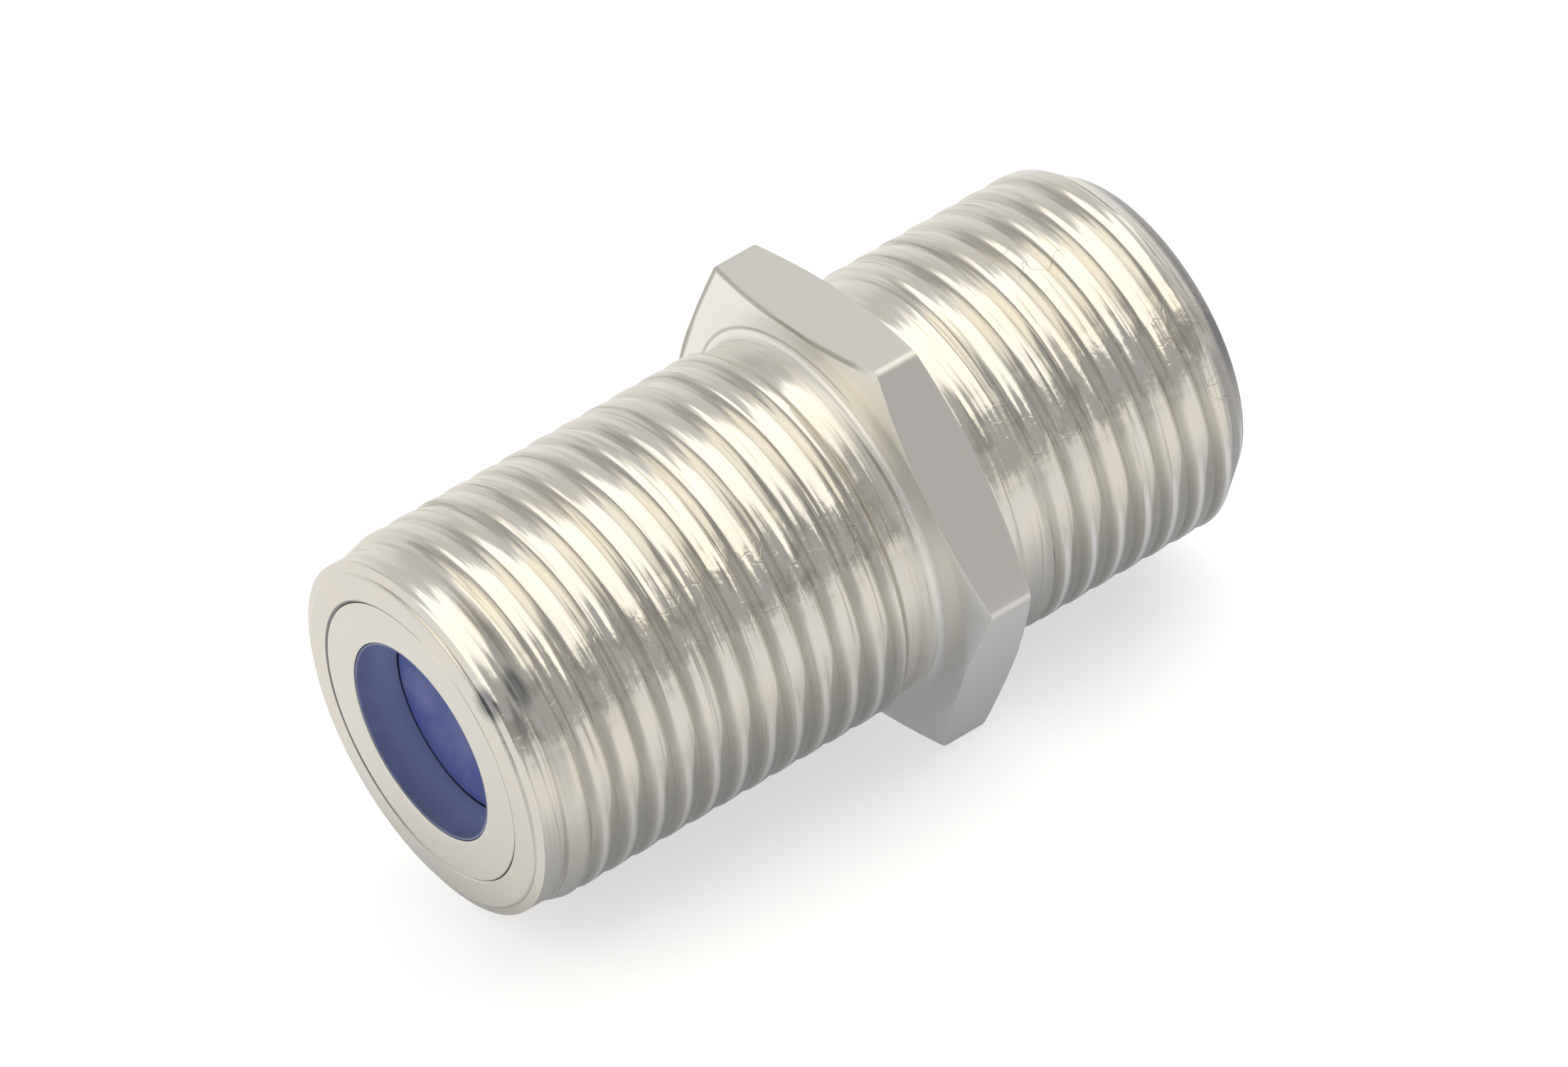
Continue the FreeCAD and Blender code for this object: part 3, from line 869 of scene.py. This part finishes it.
def latheMesh(name, profile, steps, material, flip=False):
    # A closed outline of (along, away) turned about the axis; flip turns it end for end
    points, faces = [], []
    count = len(profile)
    for step in range(steps):
        for along, away in profile:
            points.append(place(fullLength - along if flip else along, away, step / steps))
    for step in range(steps):
        following = (step + 1) % steps
        for number in range(count):
            after = (number + 1) % count
            face = (step * count + number, following * count + number,
                    following * count + after, step * count + after)
            faces.append(tuple(reversed(face)) if flip else face)
    return meshPiece(name, points, faces, material)


def bevelled(corners, steps=3):
    # Rounds each corner of a closed outline, given as (along, away, size of the rounding)
    outline = []
    count = len(corners)
    for number, (along, away, size) in enumerate(corners):
        here = Vector((along, away))
        if size == 0:
            outline.append((along, away))
            continue
        before = (Vector(corners[number - 1][:2]) - here).normalized()
        after = (Vector(corners[(number + 1) % count][:2]) - here).normalized()
        for step in range(steps + 1):
            share = step / steps
            spot = here + before * size * (1 - share) ** 2 + after * size * share ** 2
            outline.append((spot.x, spot.y))
    return outline


bushLook = dict(platedBody, roughness=0.26, bright=(0.745, 0.715, 0.65), clean=(0.735, 0.71, 0.65),
                waveHeight=0.005, scuffs=[], spots=[])
bush = dict(
    length=1.2,
    mouthRadius=2.56,
    outerRadius=3.585,
    seamBevel=0.03,
    mouthBevel=0.025,
    innerBevel=0.04,
    steps=144,
    # Rings of the mesh on its face and its walls
    mouthRing=0.12,
    faceRing=3.05,
    seamRing=0.08,
    wallRing=0.1,
    boreRing=0.15,
)


def makeBush(sizes, material):
    mouth, outer, inner = sizes["mouthRadius"], sizes["outerRadius"], sizes["innerBevel"]
    length, ring = sizes["length"], sizes["seamRing"]
    corners = [
        (0, mouth, sizes["mouthBevel"]), (0, mouth + sizes["mouthRing"], 0), (0, sizes["faceRing"], 0),
        (0, outer - ring, 0), (0, outer, sizes["seamBevel"]), (ring, outer, 0),
        (length - sizes["wallRing"], outer, 0), (length, outer, inner), (length, mouth, inner),
        (sizes["boreRing"], mouth, 0),
    ]
    return latheMesh("front_bush_plated", bevelled(corners), sizes["steps"], material)


bushFinish = platedFinish("nickel_on_pressed_bush", bushLook)
bushPiece = makeBush(bush, bushFinish)
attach(bushPiece, "root")
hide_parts("front_bush")
print("bush made")


blueMoulding = dict(
    # Painted light: the socket's wall is lighter and its floor deeper than the same plastic
    wall=(0.25, 0.295, 0.54),
    wallRim=(0.13, 0.155, 0.30),  # the wall is darker towards its rim
    floor=(0.080, 0.108, 0.36),
    seam=(0.02, 0.024, 0.08),  # painted shadow, the dark line in the crease at the wall's foot
    rubbed=(0.26, 0.30, 0.50),
    roughness=0.34,
    flowRoughness=0.12,
    grainRoughness=0.06,
    ior=1.5,
    # Noises: fineness for each millimetre across the turning and round it, detail, roughness, start
    cloud=(0.8, 0.8, 3.0, 0.5, 0.0),
    flow=(2.2, 0.6, 3.0, 0.6, 0.0),
    grain=(16.0, 16.0, 3.0, 0.6, 0.0),
    cloudEdges=(0.42, 0.7),
    flowEdges=(0.55, 0.7),
    cloudShare=0.35,
    flowShare=0.15,
    grainHeight=0.0022,  # millimetres, as are the next two
    flowHeight=0.006,
    cloudHeight=0.01,
    wallEdges=(-0.12, -0.04),  # out from the socket's wall
    rimEdges=(0.0, 0.95),  # along the axis
    seamEdges=(-0.01, 0.02),  # below the socket's floor
    # Sizes
    lip=0.02,
    lipRadius=2.545,
    rimRadius=2.49,
    socketRadius=2.40,
    socketDepth=1.1,
    floorGroove=0.07,
    funnelRadius=2.2,
    funnelMiddle=1.4,
    funnelDepth=0.8,
    pinHoleRadius=mountRadius["front_wire_hole"],
    cavityStart=2.85,
    cavityRadius=1.25,
    outerRadius=3.57,
    outerChamfer=0.2,
    endWall=1.2,
    pocketStart=9.9,
    pocketRadius=1.83,
    rimBevel=0.03,
    lipBevel=0.02,
    bevel=0.04,
    holeBevel=0.08,
    funnelBevel=0.1,
    grooveBevel=0.015,
    steps=144,
)


def mouldedFinish(name, look):
    material, shade = newFinish(name)
    spot = Spot(shade)
    cloud = spot.noise(*look["cloud"])
    flow = spot.noise(*look["flow"])
    grain = spot.noise(*look["grain"])
    # Painted light and shade: the wall and the floor of the socket get lit and shaded colours
    wall = (spot.away - look["socketRadius"]).ease(look["wallEdges"])
    inner = spot.along.ease(look["rimEdges"]).tint(look["wallRim"], look["wall"])
    colour = wall.tint(look["floor"], inner)
    pale = cloud.ease(look["cloudEdges"]) * look["cloudShare"]
    pale += flow.ease(look["flowEdges"]) * look["flowShare"]
    colour = pale.tint(colour, look["rubbed"])
    # Painted shadow in the crease at the wall's foot
    foot = (spot.along - look["socketDepth"]).ease(look["seamEdges"])
    colour = (wall * foot).tint(colour, look["seam"])
    roughness = look["roughness"] + flow * look["flowRoughness"] + grain * look["grainRoughness"]
    height = grain * look["grainHeight"] + flow * look["flowHeight"] + cloud * look["cloudHeight"]
    bump = shade.node("ShaderNodeBump", {}, {"Height": height, "Strength": 1.0, "Distance": mm})
    showSurface(shade, shade.node("ShaderNodeBsdfPrincipled", {}, {
        "Base Color": colour, "Roughness": roughness, "IOR": look["ior"], "Normal": bump}))
    return material


def makeMoulding(name, sizes, material, flip):
    depth, socket, groove = sizes["socketDepth"], sizes["socketRadius"], sizes["floorGroove"]
    lip, lipRadius, wall = sizes["lip"], sizes["lipRadius"], sizes["endWall"]
    outer, chamfer, half = sizes["outerRadius"], sizes["outerChamfer"], fullLength / 2
    pocket, pocketRadius = sizes["pocketStart"], sizes["pocketRadius"]
    cavity, cavityRadius = sizes["cavityStart"], sizes["cavityRadius"]
    hole, bevel, lipBevel = sizes["pinHoleRadius"], sizes["bevel"], sizes["lipBevel"]
    funnel, grooveBevel = sizes["funnelDepth"], sizes["grooveBevel"]
    corners = [
        (lip, sizes["rimRadius"], sizes["rimBevel"]), (lip, lipRadius, lipBevel), (wall, lipRadius, 0),
        (wall, outer - chamfer, 0), (wall + chamfer, outer, bevel), (half, outer, bevel),
        (half, pocketRadius, bevel), (pocket, pocketRadius, bevel), (pocket, cavityRadius, bevel),
        (cavity, cavityRadius, bevel), (cavity, hole, bevel), (depth + funnel, hole, sizes["holeBevel"]),
        (depth + funnel / 2, sizes["funnelMiddle"], 0),
        (depth, sizes["funnelRadius"], sizes["funnelBevel"]), (depth, socket - groove - lipBevel, lipBevel),
        (depth + groove, socket - groove, grooveBevel), (depth + groove, socket, grooveBevel),
        (depth, socket, 0),
    ]
    return latheMesh(name, bevelled(corners), sizes["steps"], material, flip)


blueFinish = mouldedFinish("moulded_blue_plastic", blueMoulding)
mouldings = {"front_insulator": ("front_moulding", False), "rear_insulator": ("rear_moulding", True)}
for node, (name, flip) in mouldings.items():
    moulding = makeMoulding(name, blueMoulding, blueFinish, flip)
    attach(moulding, "root")
    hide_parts(node)
print("mouldings made")


contactLook = dict(platedBody, roughness=0.28, bright=(0.66, 0.62, 0.52), clean=(0.62, 0.60, 0.55),
                   scuffs=[], spots=[])
contact = frame["nodes"]["centre_contact"]
contact.data.materials.clear()
contact.data.materials.append(platedFinish("tinned_spring_bronze", contactLook))
print("contact finished")


studio = dict(
    floorColour=(0.85, 0.853, 0.865),
    floorPaler=1.02,  # its mottle goes up to this many times the colour
    mottle=(3.0, 0.5, 60.0),  # detail, roughness and scale of that noise
    mottleEdges=(0.3, 0.7),
    floorMirrored=0.79,  # the metal mirrors this much of the colour
    floorShade=(0.39, 0.40, 0.43),  # and this painted shadow close below it, and in front of its left end
    belowDepth=(-15, -4, 4, 12),  # millimetres, as are the next three
    belowAlong=(-13, -10),
    besideDepth=(-3, -7),
    besideAlong=(-8, -14),
    besideShare=0.7,
    floorRoughness=0.7,
    floorGlow=0.55,  # the table is lit a little from below
    floorSize=1.5,  # metres from its middle to its edge
    floorCells=12,
    keyPlace=(0.225, -0.02, 0.455),
    keySize=0.53,
    keyPower=0.92,
    keyColour=(1.0, 0.955, 0.85),
    # The room that the metal mirrors: edges are parts of a direction, left, away or up
    glowColour=(1.0, 1.0, 1.0),
    front=0.46,
    behind=0.88,
    behindDepth=(-0.15, 0.45),
    dimRise=(0.2, 0.5),
    dim=0.22,
    gapRise=(0.35, 0.6),
    gapLeft=(0.0, 0.2),
    gapDepth=(-0.65, -0.2),
    gap=0.65,
    gapBehind=0.3,  # how much less of a gap there is behind
    panelColour=(1.06, 1.0, 0.87),
    panel=1.28,
    panelLeft=(0.28, 0.42),
    panelRise=(0.2, 0.36),
    panelDepth=0.06,
    panelWidth=(0.46, 0.28),
    backdropColour=(1.0, 1.0, 1.0),
    backdrop=1.0,
)


def floorSurface(shade, colour, look):
    return shade.node("ShaderNodeBsdfPrincipled", {}, {
        "Base Color": colour, "Roughness": look["floorRoughness"],
        "Emission Color": colour, "Emission Strength": look["floorGlow"]})


def floorFinish(look):
    # Mirrored in the metal, the floor carries a painted shadow close below the coupler and in front of its
    # left end
    material, shade = newFinish("pale_studio_floor")
    coords = shade.node("ShaderNodeTexCoord", {}, {}, "Object")
    paler = tuple(value * look["floorPaler"] for value in look["floorColour"])
    mirrored = tuple(value * look["floorMirrored"] for value in look["floorColour"])
    mottle = shade.cloud(coords, *look["mottle"]).ease(look["mottleEdges"])
    along = shade.part(coords, 0) / mm
    depth = shade.part(coords, 1) / mm
    below = depth.ease(look["belowDepth"]) * along.ease(look["belowAlong"])
    beside = depth.ease(look["besideDepth"]) * along.ease(look["besideAlong"])
    paintedShade = below.most(beside * look["besideShare"])
    plainFloor = floorSurface(shade, mottle.tint(look["floorColour"], paler), look)
    shadowedFloor = floorSurface(shade, paintedShade.tint(mirrored, look["floorShade"]), look)
    reflected = shade.node("ShaderNodeLightPath", {}, {}, "Is Glossy Ray")
    showSurface(shade, shade.node("ShaderNodeMixShader", {}, {0: reflected, 1: plainFloor, 2: shadowedFloor}))
    return material


def makeFloor(look):
    half, count = look["floorSize"], look["floorCells"]
    lines = [half * (2 * number / count - 1) for number in range(count + 1)]
    points = [(along, depth, 0) for depth in lines for along in lines]
    faces = []
    for row in range(count):
        for column in range(count):
            corner = row * (count + 1) + column
            faces.append((corner, corner + 1, corner + count + 2, corner + count + 1))
    floor = meshPiece("studio_floor", points, faces, floorFinish(look))


def makeWorld(look):
    world = bpy.data.worlds.new("soft_studio")
    world.use_nodes = True
    world.node_tree.nodes.clear()
    shade = Shade(world.node_tree)
    direction = shade.node("ShaderNodeTexCoord", {}, {}, "Generated")
    left = 0 - shade.part(direction, 0)
    depth = shade.part(direction, 1)
    rise = shade.part(direction, 2)
    behind = depth.ease(look["behindDepth"])
    level = look["front"] + behind * (look["behind"] - look["front"])
    level *= 1 - rise.ease(look["dimRise"]) * behind * look["dim"]
    gap = rise.ease(look["gapRise"]) * left.ease(look["gapLeft"]) * depth.ease(look["gapDepth"])
    level *= 1 - gap * (look["gap"] - behind * look["gapBehind"])
    panel = left.ease(look["panelLeft"]) * rise.ease(look["panelRise"])
    panel *= abs(depth - look["panelDepth"]).ease(look["panelWidth"])
    level += panel * (look["panel"] - level)
    colour = panel.tint(look["glowColour"], look["panelColour"])
    glow = shade.node("ShaderNodeBackground", {}, {"Color": colour, "Strength": level})
    plain = {"Color": look["backdropColour"], "Strength": look["backdrop"]}
    backdrop = shade.node("ShaderNodeBackground", {}, plain)
    seen = shade.node("ShaderNodeLightPath", {}, {}, "Is Camera Ray")
    mixed = shade.node("ShaderNodeMixShader", {}, {0: seen, 1: glow, 2: backdrop})
    shade.node("ShaderNodeOutputWorld", {}, {"Surface": mixed})
    bpy.context.scene.world = world


def makeKey(look):
    light = bpy.data.lights.new("key_softbox", "AREA")
    light.shape = "SQUARE"
    light.size = look["keySize"]
    light.energy = look["keyPower"]
    light.color = look["keyColour"]
    lamp = addObject("key_softbox", light)
    lamp.location = look["keyPlace"]
    aim = Vector(look["keyPlace"]) - Vector((0, 0, axisHeight * mm))
    lamp.rotation_mode = "QUATERNION"
    lamp.rotation_quaternion = aim.to_track_quat("Z", "Y")


view = dict(
    azimuth=-30.16,
    elevation=36.33,
    lean=10.85,  # degrees, the camera's own top towards the right
    distance=0.3381,
    aim=(0.0, 0.0, 0.00545),
    lens=335.0,
    sensor=36.0,
    near=0.01,
    far=10.0,
)


def makeCamera(look):
    azimuth, elevation = math.radians(look["azimuth"]), math.radians(look["elevation"])
    back = Vector((math.sin(azimuth) * math.cos(elevation), -math.cos(azimuth) * math.cos(elevation),
                   math.sin(elevation)))
    data = bpy.data.cameras.new("camera")
    data.sensor_width = look["sensor"]
    data.lens = look["lens"]
    data.clip_start = look["near"]
    data.clip_end = look["far"]
    camera = addObject("camera", data)
    spin = Matrix.Rotation(-math.radians(look["lean"]), 4, "Z")
    turned = back.to_track_quat("Z", "Y").to_matrix().to_4x4() @ spin
    camera.matrix_world = Matrix.Translation(Vector(look["aim"]) + back * look["distance"]) @ turned
    bpy.context.scene.camera = camera


makeFloor(studio)
makeWorld(studio)
makeKey(studio)
makeCamera(view)
bpy.context.scene.view_settings.view_transform = "Standard"
print("studio and camera made")
